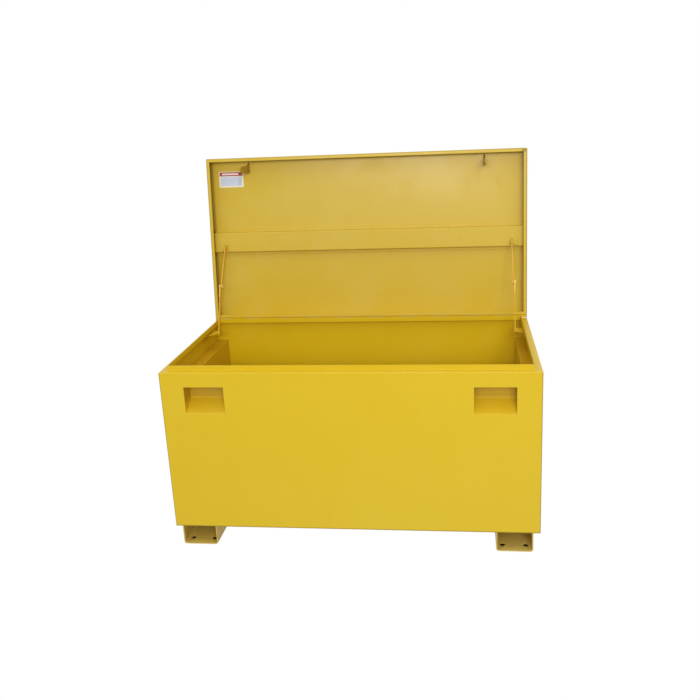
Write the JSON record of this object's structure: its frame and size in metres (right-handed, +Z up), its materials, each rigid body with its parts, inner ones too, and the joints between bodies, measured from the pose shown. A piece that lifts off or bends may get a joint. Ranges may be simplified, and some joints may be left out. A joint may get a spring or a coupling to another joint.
{
  "type": "site tool chest",
  "caption": "Steel site tool chest with a hinged lid on folding stays, a sliding tool tray, recessed padlock pockets, drop handles and channel skids.",
  "frame": {"origin": "on the floor, midway between the four outer anchor holes of the skids", "axes": "+Z up, +Y to the back where the hinge is, +X to the right seen from the front"},
  "size_m": [1.258, 0.7434, 1.248],
  "materials": {
    "paint": "semi-gloss powder coat",
    "skid_paint": "semi-gloss powder coat, dulled",
    "zinc": "zinc plated",
    "label": "printed film"
  },
  "bodies": {
    "chest": {"front_panel": "paint", "back_panel": "paint", "end_panel_left": "paint", "end_panel_right": "paint", "floor_panel": "paint", "lock_housing_left": "paint", "lock_housing_right": "paint", "side_rail_left": "paint", "side_rail_right": "paint", "rail_stops": "paint", "skid_left": "skid_paint", "skid_right": "skid_paint", "stay_bracket_left": "paint", "stay_bracket_right": "paint", "stay_bottom_rivet_left": "zinc", "stay_bottom_rivet_right": "zinc", "hinge_leaf_box": "paint", "hinge_pin": "zinc", "hinge_rivets_box": "zinc", "handle_bracket_left": "paint", "handle_bracket_right": "paint"},
    "lid": {"lid_pan": "paint", "lid_stiffener": "paint", "lock_tab_left": "paint", "lock_tab_right": "paint", "hinge_leaf_lid": "paint", "hinge_rivets_lid": "zinc", "stay_lug_left": "paint", "stay_lug_right": "paint", "stay_top_rivet_left": "zinc", "stay_top_rivet_right": "zinc", "lid_label": "label"},
    "stay_lower_left": {"stay_lower_bar_left": "paint", "stay_elbow_plate_left": "paint"},
    "stay_lower_right": {"stay_lower_bar_right": "paint", "stay_elbow_plate_right": "paint"},
    "stay_upper_left": {"stay_upper_bar_left": "paint", "stay_elbow_rivet_left": "zinc"},
    "stay_upper_right": {"stay_upper_bar_right": "paint", "stay_elbow_rivet_right": "zinc"},
    "tray": {"tray_pan": "paint", "tray_divider_left": "paint", "tray_divider_right": "paint", "tray_handle": "zinc"},
    "handle_left": {"side_handle_left": "zinc"},
    "handle_right": {"side_handle_right": "zinc"}
  },
  "joints": [
    {"name": "lid_hinge", "type": "hinge", "parent": "chest", "child": "lid", "pos_m": [0, 0.315, 0.623], "axis": [1, 0, 0], "range_deg": [0, 96]},
    {"name": "stay_lower_pivot_left", "type": "hinge", "parent": "chest", "child": "stay_lower_left", "pos_m": [-0.557, 0.178, 0.604], "axis": [1, 0, 0], "range_deg": [0, 163.8]},
    {"name": "stay_upper_pivot_left", "type": "hinge", "parent": "lid", "child": "stay_upper_left", "pos_m": [-0.553, 0.34469, 0.90544], "axis": [1, 0, 0], "range_deg": [-51.4, 0]},
    {"name": "stay_lower_pivot_right", "type": "hinge", "parent": "chest", "child": "stay_lower_right", "pos_m": [0.557, 0.178, 0.604], "axis": [1, 0, 0], "range_deg": [0, 163.8]},
    {"name": "stay_upper_pivot_right", "type": "hinge", "parent": "lid", "child": "stay_upper_right", "pos_m": [0.553, 0.34469, 0.90544], "axis": [1, 0, 0], "range_deg": [-51.4, 0]},
    {"name": "side_handle_pivot_left", "type": "hinge", "parent": "chest", "child": "handle_left", "pos_m": [-0.621, 0, 0.44], "axis": [0, 1, 0], "range_deg": [0, 90]},
    {"name": "side_handle_pivot_right", "type": "hinge", "parent": "chest", "child": "handle_right", "pos_m": [0.621, 0, 0.44], "axis": [0, -1, 0], "range_deg": [0, 90]},
    {"name": "tray_slide", "type": "slide", "parent": "chest", "child": "tray", "axis": [0, 1, 0], "range_m": [0, 0.06]}
  ],
  "couplings": [
    {"joint": "stay_lower_pivot_left", "follows": "lid_hinge", "ratio": 1.7048},
    {"joint": "stay_upper_pivot_left", "follows": "lid_hinge", "ratio": -0.534},
    {"joint": "stay_lower_pivot_right", "follows": "lid_hinge", "ratio": 1.7048},
    {"joint": "stay_upper_pivot_right", "follows": "lid_hinge", "ratio": -0.534}
  ]
}
